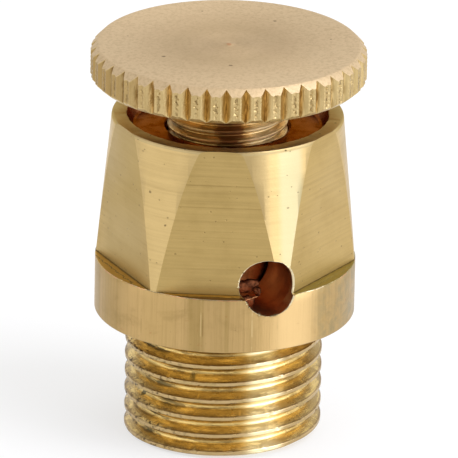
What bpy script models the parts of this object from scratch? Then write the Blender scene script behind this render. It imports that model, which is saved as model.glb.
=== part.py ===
"""Radiator bleed valve with a knurled hand knob, shown part open.

Metres, +Z up. The origin is the centre of the nipple's end face, and every piece is turned about Z.
One of the six flats faces -Y. The spindle is lifted off its seat by LIFT, as the knob's turns leave it.
"""

import math

import bmesh
import bpy

MM = 0.001

# Threaded nipple, a G 1/8 pipe thread. Its groove fades out above the relief, at THREAD_END_TURN
NIPPLE_RADIUS = 9.728 / 2 * MM
NIPPLE_LENGTH = 6.2 * MM
NIPPLE_CHAMFER = 0.15 * MM
THREAD_PITCH = 0.907 * MM
THREAD_DEPTH = 0.581 * MM
THREAD_CREST = 0.15 * MM
THREAD_HALF_ANGLE = math.radians(27.5)
THREAD_END_CLEARANCE = 0.04 * MM
THREAD_END_TURN = math.radians(107.5)
THREAD_STEPS = 36
THREAD_FADE_STEPS = 6
RELIEF_WIDTH = 0.45 * MM
RELIEF_DEPTH = 0.62 * MM

# The relief dips into the collar's underside, so the flat ring there starts clear of the nipple
SHOULDER_DIP = 0.05 * MM
SHOULDER_CLEARANCE = 0.08 * MM

# Round collar, left at the bar's own diameter
COLLAR_RADIUS = 6.40 * MM
COLLAR_HEIGHT = 2.75 * MM
COLLAR_EDGE = 0.05 * MM

# Tapered grip with six flats
GRIP_HEIGHT = 7.40 * MM
GRIP_BASE_STEP = 0.03 * MM
GRIP_TOP_RADIUS = 5.66 * MM
GRIP_EDGE = 0.10 * MM
ACROSS_FLATS = 11.17 * MM

# Dished mouth under the knob
DISH_RADIUS = 4.95 * MM
DISH_FLOOR_RADIUS = 4.55 * MM
DISH_DEPTH = 0.65 * MM
MOUTH_CHAMFER = 0.25 * MM

# Spindle thread, an M6 with a 0.5 mm pitch that is drawn plain
STEM_RADIUS = 2.95 * MM
STEM_CLEARANCE = 0.04 * MM
STEM_THREAD_LENGTH = 3.60 * MM
STEM_END_CLEARANCE = 0.15 * MM
STEM_CHAMFER = 0.30 * MM

# Chamber, seat and water way inside the body
CHAMBER_RADIUS = 2.73 * MM
WATERWAY_RADIUS = 1.50 * MM
WATERWAY_CHAMFER = 0.25 * MM
SEAT_HEIGHT = 4.10 * MM
SEAT_WALL = 0.30 * MM
SEAT_LIP = 0.40 * MM

# Vent hole, drilled in from one side over the collar's top edge
VENT_RADIUS = 1.38 * MM
VENT_RISE = 0.46 * MM
VENT_ANGLE = math.radians(24.0)

# Knob and spindle, turned in one piece
LIFT = 1.25 * MM
KNOB_GAP_SHUT = 0.54 * MM
KNOB_OVERHANG = 0.35 * MM
KNOB_THICKNESS = 1.75 * MM
KNOB_TOP_CHAMFER = 0.34 * MM
KNOB_BOTTOM_CHAMFER = 0.28 * MM
KNOB_BOTTOM_CHAMFER_RISE = 0.16 * MM
PIP_RADIUS = 0.30 * MM
PIP_HEIGHT = 0.05 * MM
NECK_RADIUS = 2.30 * MM
NOSE_RADIUS = 2.00 * MM
NOSE_LAND = 0.18 * MM
NOSE_TAPER = 0.35 * MM
SPIGOT_RADIUS = 1.67 * MM
SPIGOT_LENGTH = 0.98 * MM
PINTLE_RADIUS = 0.80 * MM
PINTLE_HEAD_RADIUS = 1.15 * MM
PINTLE_HEAD_LENGTH = 0.40 * MM

# Straight knurl round the knob
KNURL_TEETH = 43
KNURL_DEPTH = 0.31 * MM
KNURL_HALF_ANGLE = math.radians(42)
KNURL_START = math.radians(4.4)

# Seal, a rubber washer held on the pintle
SEAL_RADIUS = 1.95 * MM
SEAL_THICKNESS = 1.00 * MM
SEAL_EDGE = 0.10 * MM
SEAL_FIT = 0.03 * MM
SEAT_CLEARANCE = 0.02 * MM

BODY_SEGMENTS = 72
SEAL_SEGMENTS = 40
VENT_SEGMENTS = 32
CUT_MARGIN = 1.0 * MM

# Sizes and heights that follow from those above
KNOB_RADIUS = COLLAR_RADIUS + KNOB_OVERHANG
COLLAR_TOP = NIPPLE_LENGTH + COLLAR_HEIGHT
GRIP_TOP = COLLAR_TOP + GRIP_HEIGHT
DISH_FLOOR = GRIP_TOP - DISH_DEPTH
THREAD_BOTTOM = DISH_FLOOR - STEM_THREAD_LENGTH
KNOB_UNDERSIDE = GRIP_TOP + KNOB_GAP_SHUT + LIFT
SEAL_UNDERSIDE = SEAT_HEIGHT + SEAT_CLEARANCE + LIFT


def clear_scene():
    for obj in list(bpy.data.objects):
        bpy.data.objects.remove(obj, do_unlink=True)


def make_material(name, colour, roughness, metallic):
    material = bpy.data.materials.new(name)
    material.use_nodes = True
    shader = material.node_tree.nodes["Principled BSDF"]
    shader.inputs["Base Color"].default_value = (*colour, 1.0)
    shader.inputs["Roughness"].default_value = roughness
    shader.inputs["Metallic"].default_value = metallic
    return material


def link_object(name, bm, material=None):
    """Turn a bmesh into a named object, smooth on its round faces and sharp at its edges."""
    bmesh.ops.recalc_face_normals(bm, faces=bm.faces)
    mesh = bpy.data.meshes.new(name)
    bm.to_mesh(mesh)
    bm.free()
    mesh.shade_smooth()
    mesh.set_sharp_from_angle(angle=math.radians(30))
    obj = bpy.data.objects.new(name, mesh)
    if material:
        mesh.materials.append(material)
    bpy.context.scene.collection.objects.link(obj)
    return obj


def turned(profile, segments, closed):
    """Spin a profile of (radius, height) points about Z, as a lathe would."""
    bm = bmesh.new()
    verts = [bm.verts.new((radius, 0.0, height)) for radius, height in profile]
    ends = verts[1:] + verts[:1] if closed else verts[1:]
    edges = [bm.edges.new(pair) for pair in zip(verts, ends)]
    bmesh.ops.spin(bm, geom=verts + edges, cent=(0, 0, 0), axis=(0, 0, 1),
                   angle=2 * math.pi, steps=segments, use_merge=True)
    bmesh.ops.remove_doubles(bm, verts=bm.verts, dist=0.0001 * MM)
    return bm


def prism(bm, outline, height):
    """Add an upright prism over a list of (x, y, z) points that lie in one level plane."""
    base = bm.faces.new([bm.verts.new(point) for point in outline])
    grown = bmesh.ops.extrude_face_region(bm, geom=[base])
    top = [item for item in grown["geom"] if isinstance(item, bmesh.types.BMVert)]
    bmesh.ops.translate(bm, verts=top, vec=(0, 0, height))


def cut(target, cutter):
    """Take the cutter out of the target, and leave it in the file as a guide."""
    cutter.hide_render = True
    cutter.display_type = "WIRE"
    modifier = target.modifiers.new(cutter.name, "BOOLEAN")
    modifier.operation = "DIFFERENCE"
    modifier.object = cutter


def body_profile():
    """The body's half section: up the outside, down through the dish, chamber and water way."""
    relief = NIPPLE_RADIUS - RELIEF_DEPTH
    shoulder = NIPPLE_RADIUS + SHOULDER_CLEARANCE
    grip_base = COLLAR_RADIUS - GRIP_BASE_STEP
    thread_bore = STEM_RADIUS + STEM_CLEARANCE
    seat_outer = WATERWAY_RADIUS + SEAT_WALL
    chamber_floor = SEAT_HEIGHT - SEAT_LIP
    taper = (grip_base - GRIP_TOP_RADIUS) / GRIP_HEIGHT
    outside = [
        (NIPPLE_RADIUS - NIPPLE_CHAMFER, 0.0),
        (NIPPLE_RADIUS, NIPPLE_CHAMFER),
        (NIPPLE_RADIUS, NIPPLE_LENGTH - RELIEF_WIDTH - RELIEF_DEPTH / 2),
        (relief, NIPPLE_LENGTH - RELIEF_WIDTH),
        (relief, NIPPLE_LENGTH + SHOULDER_DIP),
        (shoulder, NIPPLE_LENGTH + SHOULDER_DIP),
        (shoulder, NIPPLE_LENGTH),
        (COLLAR_RADIUS - COLLAR_EDGE, NIPPLE_LENGTH),
        (COLLAR_RADIUS, NIPPLE_LENGTH + COLLAR_EDGE),
        (COLLAR_RADIUS, COLLAR_TOP),
        (grip_base, COLLAR_TOP),
        (GRIP_TOP_RADIUS + taper * GRIP_EDGE, GRIP_TOP - GRIP_EDGE),
        (GRIP_TOP_RADIUS - GRIP_EDGE, GRIP_TOP),
    ]
    inside = [
        (DISH_RADIUS, GRIP_TOP),
        (DISH_FLOOR_RADIUS, DISH_FLOOR),
        (thread_bore + MOUTH_CHAMFER, DISH_FLOOR),
        (thread_bore, DISH_FLOOR - MOUTH_CHAMFER),
        (thread_bore, THREAD_BOTTOM),
        (CHAMBER_RADIUS, THREAD_BOTTOM),
        (CHAMBER_RADIUS, chamber_floor),
        (seat_outer, chamber_floor),
        (seat_outer, SEAT_HEIGHT),
        (WATERWAY_RADIUS, SEAT_HEIGHT),
        (WATERWAY_RADIUS, WATERWAY_CHAMFER),
        (WATERWAY_RADIUS + WATERWAY_CHAMFER, 0.0),
    ]
    return outside + inside


def flats_cutter():
    """A ring with a hexagonal hole, which mills the six flats down to the collar."""
    corner = ACROSS_FLATS / 2 / math.cos(math.pi / 6)
    outer = 2 * COLLAR_RADIUS
    top = GRIP_TOP + CUT_MARGIN
    section = [(corner, COLLAR_TOP), (outer, COLLAR_TOP), (outer, top), (corner, top)]
    return link_object("flats_cutter", turned(section, 6, closed=True))


def vent_cutter():
    """The drill that opens the chamber to the outside."""
    bm = bmesh.new()
    reach = COLLAR_RADIUS + CUT_MARGIN
    bmesh.ops.create_cone(bm, cap_ends=True, segments=VENT_SEGMENTS, radius1=VENT_RADIUS,
                          radius2=VENT_RADIUS, depth=reach)
    cutter = link_object("vent_cutter", bm)
    cutter.rotation_euler = (math.pi / 2, 0.0, VENT_ANGLE)
    cutter.location = (reach / 2 * math.sin(VENT_ANGLE), -reach / 2 * math.cos(VENT_ANGLE),
                       COLLAR_TOP + VENT_RISE)
    return cutter


def thread_cutter():
    """The groove's section, swept down a right-handed helix from under the collar past the end face."""
    half_open = (THREAD_PITCH - THREAD_CREST) / 2
    half_root = half_open - THREAD_DEPTH * math.tan(THREAD_HALF_ANGLE)
    upper = [
        (NIPPLE_RADIUS - THREAD_DEPTH, half_root),
        (NIPPLE_RADIUS, half_open),
        (NIPPLE_RADIUS + CUT_MARGIN, half_open),
    ]
    section = upper + [(radius, -rise) for radius, rise in reversed(upper)]
    end = NIPPLE_LENGTH - THREAD_END_CLEARANCE - half_open
    turns = math.ceil(end / THREAD_PITCH) + 1
    bm = bmesh.new()
    rings = []
    for step in range(turns * THREAD_STEPS + 1):
        turn = THREAD_END_TURN - 2 * math.pi * step / THREAD_STEPS
        height = end - THREAD_PITCH * step / THREAD_STEPS
        fade = THREAD_DEPTH * max(0.0, 1.02 - step / THREAD_FADE_STEPS)
        rings.append([bm.verts.new(((radius + fade) * math.cos(turn), (radius + fade) * math.sin(turn), height + rise))
                      for radius, rise in section])
    for above, below in zip(rings, rings[1:]):
        for k in range(len(section)):
            bm.faces.new((above[k], above[k - 1], below[k - 1], below[k]))
    bm.faces.new(rings[0])
    bm.faces.new(rings[-1])
    bmesh.ops.triangulate(bm, faces=bm.faces)
    return link_object("thread_cutter", bm)


def make_valve_body(material):
    body = link_object("valve_body", turned(body_profile(), BODY_SEGMENTS, closed=True), material)
    cut(body, thread_cutter())
    cut(body, flats_cutter())
    cut(body, vent_cutter())
    return body


def spindle_profile():
    """The knob and spindle's half section from the top's centre down, with Z = 0 under the knob."""
    spigot_end = SEAL_UNDERSIDE + SEAL_THICKNESS + SEAL_FIT - KNOB_UNDERSIDE
    stem_end = THREAD_BOTTOM + STEM_END_CLEARANCE + LIFT - KNOB_UNDERSIDE
    nose_bottom = spigot_end + SPIGOT_LENGTH
    head_top = SEAL_UNDERSIDE - SEAL_FIT - KNOB_UNDERSIDE
    return [
        (0.0, KNOB_THICKNESS + PIP_HEIGHT),
        (PIP_RADIUS, KNOB_THICKNESS),
        (KNOB_RADIUS - KNOB_TOP_CHAMFER, KNOB_THICKNESS),
        (KNOB_RADIUS, KNOB_THICKNESS - KNOB_TOP_CHAMFER),
        (KNOB_RADIUS, KNOB_BOTTOM_CHAMFER_RISE),
        (KNOB_RADIUS - KNOB_BOTTOM_CHAMFER, 0.0),
        (STEM_RADIUS, 0.0),
        (STEM_RADIUS, stem_end + STEM_CHAMFER),
        (STEM_RADIUS - STEM_CHAMFER, stem_end),
        (NECK_RADIUS, stem_end),
        (NECK_RADIUS, nose_bottom + NOSE_LAND + NOSE_TAPER),
        (NOSE_RADIUS, nose_bottom + NOSE_LAND),
        (NOSE_RADIUS, nose_bottom),
        (SPIGOT_RADIUS, nose_bottom),
        (SPIGOT_RADIUS, spigot_end),
        (PINTLE_RADIUS, spigot_end),
        (PINTLE_RADIUS, head_top),
        (PINTLE_HEAD_RADIUS, head_top),
        (PINTLE_HEAD_RADIUS, head_top - PINTLE_HEAD_LENGTH / 2),
        (PINTLE_RADIUS, head_top - PINTLE_HEAD_LENGTH),
        (0.0, head_top - PINTLE_HEAD_LENGTH),
    ]


def knurl_cutter():
    """One V groove for each tooth, longer than the rim is thick."""
    bm = bmesh.new()
    inner = KNOB_RADIUS - KNURL_DEPTH
    outer = KNOB_RADIUS + CUT_MARGIN
    half_width = (outer - inner) * math.tan(KNURL_HALF_ANGLE)
    for tooth in range(KNURL_TEETH):
        turn = KNURL_START + 2 * math.pi * tooth / KNURL_TEETH
        along, across = math.cos(turn), math.sin(turn)
        outline = [
            (inner * along, inner * across, -CUT_MARGIN),
            (outer * along + half_width * across, outer * across - half_width * along, -CUT_MARGIN),
            (outer * along - half_width * across, outer * across + half_width * along, -CUT_MARGIN),
        ]
        prism(bm, outline, KNOB_THICKNESS + 2 * CUT_MARGIN)
    return link_object("knurl_cutter", bm)


def make_knob_spindle(material, axis):
    spindle = link_object("knob_spindle", turned(spindle_profile(), 2 * KNURL_TEETH, closed=False), material)
    spindle.parent = axis
    spindle.location = (0.0, 0.0, KNOB_UNDERSIDE)
    cutter = knurl_cutter()
    cutter.parent = spindle
    cut(spindle, cutter)
    return spindle


def make_seat_seal(material, axis):
    bore = PINTLE_RADIUS + SEAL_FIT
    profile = [
        (bore, 0.0),
        (SEAL_RADIUS - SEAL_EDGE, 0.0),
        (SEAL_RADIUS, SEAL_EDGE),
        (SEAL_RADIUS, SEAL_THICKNESS - SEAL_EDGE),
        (SEAL_RADIUS - SEAL_EDGE, SEAL_THICKNESS),
        (bore, SEAL_THICKNESS),
    ]
    seal = link_object("seat_seal", turned(profile, SEAL_SEGMENTS, closed=True), material)
    seal.parent = axis
    seal.location = (0.0, 0.0, SEAL_UNDERSIDE)
    return seal


def make_axis():
    """The line that the knob, spindle and seal turn about and travel along."""
    axis = bpy.data.objects.new("spindle_axis", None)
    bpy.context.scene.collection.objects.link(axis)
    return axis


def main():
    clear_scene()
    body_brass = make_material("body_brass", (0.76, 0.57, 0.28), 0.32, 1.0)
    knob_brass = make_material("knob_brass", (0.78, 0.58, 0.36), 0.38, 1.0)
    seal_rubber = make_material("seal_rubber", (0.025, 0.025, 0.028), 0.60, 0.0)
    make_valve_body(body_brass)
    axis = make_axis()
    make_knob_spindle(knob_brass, axis)
    make_seat_seal(seal_rubber, axis)


main()
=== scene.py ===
import random
from math import asin, atan2, cos, degrees, hypot, pi, radians, sin, tan, tau

import bmesh
import bpy
import numpy as np
from mathutils import Matrix, Vector


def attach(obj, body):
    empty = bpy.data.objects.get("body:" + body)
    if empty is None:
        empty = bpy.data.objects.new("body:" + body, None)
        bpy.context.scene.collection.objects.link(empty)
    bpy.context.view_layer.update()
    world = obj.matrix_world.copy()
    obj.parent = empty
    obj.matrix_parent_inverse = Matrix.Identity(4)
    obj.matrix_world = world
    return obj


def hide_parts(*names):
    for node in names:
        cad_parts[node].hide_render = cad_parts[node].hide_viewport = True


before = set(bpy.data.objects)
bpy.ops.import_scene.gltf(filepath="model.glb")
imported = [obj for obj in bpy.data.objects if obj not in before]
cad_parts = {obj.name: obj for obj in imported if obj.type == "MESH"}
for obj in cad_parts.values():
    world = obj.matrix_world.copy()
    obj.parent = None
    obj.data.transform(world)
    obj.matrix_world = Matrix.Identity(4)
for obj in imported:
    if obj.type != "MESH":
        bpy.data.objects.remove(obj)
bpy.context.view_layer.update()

MM = 0.001
# Angles round Z count from +X. An azimuth counts from -Y, the side that the camera sees, towards +X
FRONT = -pi / 2

# Sizes that the CAD model has too, in millimetres
NIPPLE_RADIUS, NIPPLE_LENGTH, RELIEF_DEPTH = 4.864, 6.2, 0.62
PIPE_PITCH, THREAD_DEPTH = 0.907, 0.581
COLLAR_RADIUS, COLLAR_TOP = 6.40, 8.95
GRIP_BASE_RADIUS, GRIP_TOP_RADIUS, GRIP_TOP, ACROSS_FLATS = 6.37, 5.66, 16.35, 11.17
DISH_RADIUS, DISH_FLOOR_RADIUS, DISH_FLOOR = 4.95, 4.55, 15.70
STEM_RADIUS, STEM_END, STEM_CHAMFER = 2.95, 13.50, 0.30
BORE_RADIUS, THREAD_BOTTOM = 2.99, 12.10
CHAMBER_RADIUS, WATERWAY_RADIUS, WATERWAY_CHAMFER = 2.73, 1.50, 0.25
SEAT_HEIGHT, SEAT_WALL, SEAT_LIP = 4.10, 0.30, 0.40
VENT_RADIUS, VENT_HEIGHT, VENT_ANGLE = 1.38, 9.41, radians(24.0)
KNOB_RADIUS, KNOB_UNDERSIDE, KNOB_TOP = 6.75, 18.14, 19.89
KNOB_TOP_CHAMFER, KNOB_BOTTOM_CHAMFER, PIP_HEIGHT = 0.34, 0.28, 0.05
TEETH, KNURL_START, KNURL_DEPTH, GROOVE_HALF_WIDTH = 43, radians(4.4), 0.31, 0.279
NOSE_RADIUS, NOSE_LAND, SPIGOT_RADIUS, SPIGOT_LENGTH = 2.00, 0.18, 1.67, 0.98
PINTLE_RADIUS, PINTLE_HEAD_RADIUS, PINTLE_HEAD_LENGTH = 0.80, 1.15, 0.40
SEAL_UNDERSIDE, SEAL_RADIUS, SEAL_THICKNESS = 5.37, 1.95, 1.00
SEAL_EDGE, SEAL_FIT = 0.10, 0.03

# Sizes of the scene's own, or a little different from the CAD model's
PIPE_GROOVE_DEPTH, PIPE_THREAD_END = 0.535, 5.782
PIPE_CREST_AT_FRONT = 4.83
STEM_PITCH, STEM_GROOVE_DEPTH, STEM_THREAD_END = 0.5, 0.29, 17.72
STEM_GROOVE_AT_FRONT = 17.63
NECK_RADIUS, NOSE_TAPER = 2.55, 0.60
KNOB_BOTTOM_SLOPE = 0.24 / KNOB_BOTTOM_CHAMFER
VENT_AXIS = Vector((sin(VENT_ANGLE), -cos(VENT_ANGLE), 0))
VENT_ACROSS = Vector((cos(VENT_ANGLE), sin(VENT_ANGLE), 0))
FLAT_ANGLES = [FRONT + tau * k / 6 for k in range(6)]

OLIVE = (0.27, 0.175, 0.055)
GRIME = (0.060, 0.034, 0.012)


# Materials

class Nodes:
    """Short names for the nodes that the materials here are made of. Coordinates are in millimetres."""

    def __init__(self, name):
        self.material = bpy.data.materials.new(name)
        self.material.use_nodes = True
        self.tree = self.material.node_tree
        self.shader = self.tree.nodes["Principled BSDF"]
        coord = self.node("TexCoord").outputs
        in_mm = self.node("VectorMath", {0: coord["Object"], "Scale": 1 / MM}, operation="SCALE")
        self.place = in_mm.outputs[0]
        self.x, self.y, self.z = self.node("SeparateXYZ", {0: self.place}).outputs
        self.normal_z = self.node("SeparateXYZ", {0: coord["Normal"]}).outputs[2]
        self.radius = self.math("SQRT", self.plus(self.times(self.x, self.x), self.times(self.y, self.y)))

    def fill(self, node, inputs):
        """Set each input to its value, or link it to its socket. A colour needs no alpha."""
        for name, value in inputs.items():
            socket = node.inputs[name]
            if isinstance(value, bpy.types.NodeSocket):
                self.tree.links.new(value, socket)
            else:
                socket.default_value = (*value, 1.0) if socket.type == "RGBA" else value

    def node(self, kind, inputs=None, **settings):
        node = self.tree.nodes.new("ShaderNode" + kind)
        for name, value in settings.items():
            setattr(node, name, value)
        self.fill(node, inputs or {})
        return node

    def math(self, operation, a, b=0.0, clamp=False):
        return self.node("Math", {0: a, 1: b}, operation=operation, use_clamp=clamp).outputs[0]

    def plus(self, a, b):
        return self.math("ADD", a, b)

    def minus(self, a, b):
        return self.math("SUBTRACT", a, b)

    def times(self, a, b):
        return self.math("MULTIPLY", a, b)

    def most(self, a, b):
        return self.math("MAXIMUM", a, b)

    def gap(self, a, b):
        """How far two values lie apart."""
        return self.math("ABSOLUTE", self.minus(a, b))

    def turn(self):
        """The angle round Z, in radians."""
        return self.math("ARCTAN2", self.y, self.x)

    def join(self, x, y, z):
        return self.node("CombineXYZ", {"X": x, "Y": y, "Z": z}).outputs[0]

    def scaled(self, scale, vector, offset):
        scale = scale if isinstance(scale, tuple) else (scale,) * 3
        inputs = {"Vector": vector or self.place, "Scale": scale, "Location": offset}
        return self.node("Mapping", inputs).outputs[0]

    def noise(self, scale, detail=3.0, rough=0.55, distort=0.0, vector=None, offset=(0, 0, 0)):
        inputs = {"Vector": self.scaled(scale, vector, offset), "Scale": 1.0, "Detail": detail,
                  "Roughness": rough, "Distortion": distort}
        return self.node("TexNoise", inputs).outputs["Fac"]

    def cells(self, scale, offset):
        inputs = {"Vector": self.scaled(scale, None, offset), "Scale": 1.0}
        return self.node("TexVoronoi", inputs).outputs["Distance"]

    def band(self, value, low, high, to_low=0.0, to_high=1.0, smooth=True):
        inputs = {"Value": value, "From Min": low, "From Max": high, "To Min": to_low, "To Max": to_high}
        kind = "SMOOTHSTEP" if smooth else "LINEAR"
        return self.node("MapRange", inputs, interpolation_type=kind).outputs["Result"]

    def sector(self, azimuth, inner, outer, inside=1.0, outside=0.0):
        """One value within inner degrees of an azimuth, and another beyond outer degrees."""
        off = self.gap(self.turn(), radians(azimuth) + FRONT)
        return self.band(off, radians(inner), radians(outer), inside, outside)

    def mix(self, factor, a, b):
        return self.node("Mix", {0: factor, 6: a, 7: b}, data_type="RGBA").outputs[2]

    def bump(self, height, depth, before=None):
        """Raise the surface by height times depth, in millimetres."""
        node = self.node("Bump", {"Height": height, "Distance": depth * MM, "Strength": 1.0})
        if before is not None:
            self.fill(node, {"Normal": before})
        return node.outputs[0]

    def finish(self, colour, rough, normal, anisotropy=0.0, metal=1.0, edge=None):
        """Wire up the shader. Anisotropy draws highlights out along Z, across marks that run round it."""
        inputs = {"Base Color": colour, "Roughness": rough, "Normal": normal, "Metallic": metal}
        if anisotropy:
            tangent = self.node("Tangent", direction_type="RADIAL", axis="Z").outputs[0]
            inputs.update({"Anisotropic": anisotropy, "Anisotropic Rotation": 0.25, "Tangent": tangent})
        if edge:
            inputs["Specular Tint"] = edge
        self.fill(self.shader, inputs)
        return self.material


def darker(colour, share):
    return tuple(c * share for c in colour)


def spots(n, places):
    """1 inside each (x, y, z, radius) spot and 0 outside, with a ragged edge."""
    ragged = n.noise(9.0, detail=3.0)
    total = None
    for x, y, z, radius in places:
        away = n.node("VectorMath", {0: n.place, 1: (x, y, z)}, operation="DISTANCE").outputs["Value"]
        near = n.plus(away, n.times(ragged, radius * 0.8))
        one = n.band(near, radius * 1.1, radius * 1.6, 1.0, 0.0)
        total = one if total is None else n.most(total, one)
    return total


def ringed_brass(name, colour, ring_scale, ring_depth, rough, anisotropy, dark=0.25, pits=0.5, line=0.30,
                 marks=(), scores=(), edge=None, painted_light=()):
    """Turned or milled brass whose fine lines lie level, with pits and faint stains.

    Marks are dark spots, each score (height, strength) is a level line on the front flat, and each
    sector given as (azimuth, half width, colour) in the last argument is painted highlight or painted shade.
    """
    n = Nodes(name)
    level = n.join(n.times(n.x, 0.02), n.times(n.y, 0.02), n.z)
    lines = n.noise(ring_scale, detail=4.0, rough=0.75, vector=level)
    coarse = n.noise(2.3, detail=2.0, vector=level, offset=(4, 1, 7))
    stain = n.noise(0.55, detail=4.0, rough=0.6, offset=(11, 3, 5))
    grain = n.noise(9.0, detail=3.0)
    holes = n.cells((1.9, 1.9, 2.6), (3, 8, 1))
    size = n.noise(1.3, detail=1.0, offset=(9, 9, 2))
    pit = n.band(n.minus(holes, n.times(size, 0.16)), -0.005, 0.03, 1.0, 0.0)
    pit = n.math("MULTIPLY", pit, pits, clamp=True)
    if marks:
        pit = n.most(pit, n.times(spots(n, marks), 0.8))
    stained = tuple(c * share for c, share in zip(colour, (0.82, 0.80, 0.70)))
    shade = n.mix(n.band(stain, 0.42, 0.72, 0.0, dark), colour, stained)
    shade = n.mix(n.band(lines, 0.35, 0.75, 0.0, line), shade, darker(colour, 0.62))
    shade = n.mix(n.band(coarse, 0.60, 0.70, 0.0, line * 0.7), shade, OLIVE)
    # Sectors of painted highlight or painted shade
    for azimuth, half, tone in painted_light:
        shade = n.mix(n.sector(azimuth, half * 0.5, half, 0.9), shade, tone)
    for height, strength in scores:
        score = n.band(n.gap(n.z, height), 0.012, 0.045, strength, 0.0)
        score = n.times(score, n.band(n.y, -5.55, -5.30, 1.0, 0.0))
        shade = n.mix(n.times(score, n.band(stain, 0.35, 0.55, 0.4, 1.0)), shade, OLIVE)
    shade = n.mix(n.times(pit, 0.75), shade, GRIME)
    roughness = n.plus(n.band(stain, 0.35, 0.75, rough, rough + 0.08, smooth=False),
                       n.band(lines, 0.3, 0.8, -0.03, 0.05))
    height = n.minus(n.plus(lines, n.times(coarse, 0.6)), n.times(pit, 2.5))
    normal = n.bump(grain, 0.004, n.bump(height, ring_depth))
    return n.finish(shade, roughness, normal, anisotropy, edge=edge)


def drawn_brass(name):
    """The drawn collar: upright die lines, scratches, stains, a blotchy right end, painted shade bands and a
    painted highlight.
    """
    n = Nodes(name)
    upright = n.join(n.times(n.turn(), COLLAR_RADIUS), 0.0, n.times(n.z, 0.03))
    lines = n.noise(4.5, detail=5.0, rough=0.75, vector=upright)
    wide = n.noise(0.85, detail=2.5, vector=upright, offset=(2, 5, 3))
    patch = n.noise((0.6, 0.6, 0.9), detail=5.0, rough=0.62, distort=0.4, offset=(1.7, 6.0, 2.0))
    speck = n.noise((5.0, 5.0, 4.0), detail=4.0, rough=0.7)
    shade = n.mix(n.band(patch, 0.52, 0.70, 0.0, 0.45), (0.56, 0.375, 0.158), (0.40, 0.27, 0.10))
    shade = n.mix(n.band(lines, 0.44, 0.68, 0.0, 0.42), shade, (0.36, 0.235, 0.085))
    shade = n.mix(n.band(wide, 0.42, 0.66, 0.0, 0.25), shade, (0.44, 0.30, 0.11))
    # Upright bands of painted shade at these azimuths, streaked by the die lines
    painted_shade_bands = ((-9.5, 3.6, 0.60), (4.3, 1.0, 0.45), (-58.0, 9.0, 0.45), (-74.0, 6.0, 0.75))
    for azimuth, half, amount in painted_shade_bands:
        near = n.sector(azimuth, half * 0.6, half * 1.25, amount)
        shade = n.mix(n.times(near, n.band(lines, 0.30, 0.60, 0.75, 1.0)), shade, (0.38, 0.255, 0.085))
    # A painted highlight on the collar's right
    shade = n.mix(n.sector(36, 5, 15, 0.85), shade, (0.66, 0.455, 0.205))
    azimuth = n.minus(n.turn(), FRONT)
    right_end = n.times(n.band(azimuth, radians(43), radians(56)),
                        n.band(azimuth, radians(82), radians(100), 1.0, 0.0))
    blotch = n.noise((1.3, 1.3, 1.5), detail=5.0, rough=0.68, distort=0.6, offset=(0.3, 2.0, 8.0))
    shade = n.mix(n.times(right_end, n.band(blotch, 0.38, 0.66, 0.10, 0.75)), shade, (0.33, 0.265, 0.135))
    scratches = ((-6.2, (0.30, 0.19, 0.065)), (-7.1, (0.68, 0.49, 0.23)), (15.4, (0.68, 0.51, 0.25)),
                 (-36.0, (0.42, 0.285, 0.11)), (27.0, (0.50, 0.34, 0.14)))
    for azimuth, tone in scratches:
        scratch = n.times(n.sector(azimuth, 0.1, 0.4, 0.7), n.band(patch, 0.44, 0.54, 0.15, 1.0))
        shade = n.mix(scratch, shade, tone)
    stain = n.noise((1.7, 1.7, 2.4), detail=3.0, rough=0.6, offset=(4, 9, 3))
    shade = n.mix(n.band(stain, 0.66, 0.74, 0.0, 0.35), shade, (0.42, 0.20, 0.07))
    shade = n.mix(n.band(speck, 0.66, 0.76, 0.0, 0.55), shade, GRIME)
    normal = n.bump(speck, 0.004, n.bump(n.plus(lines, n.times(wide, 0.9)), 0.018))
    return n.finish(shade, n.band(patch, 0.35, 0.70, 0.38, 0.46, smooth=False), normal, 0.8)


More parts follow.
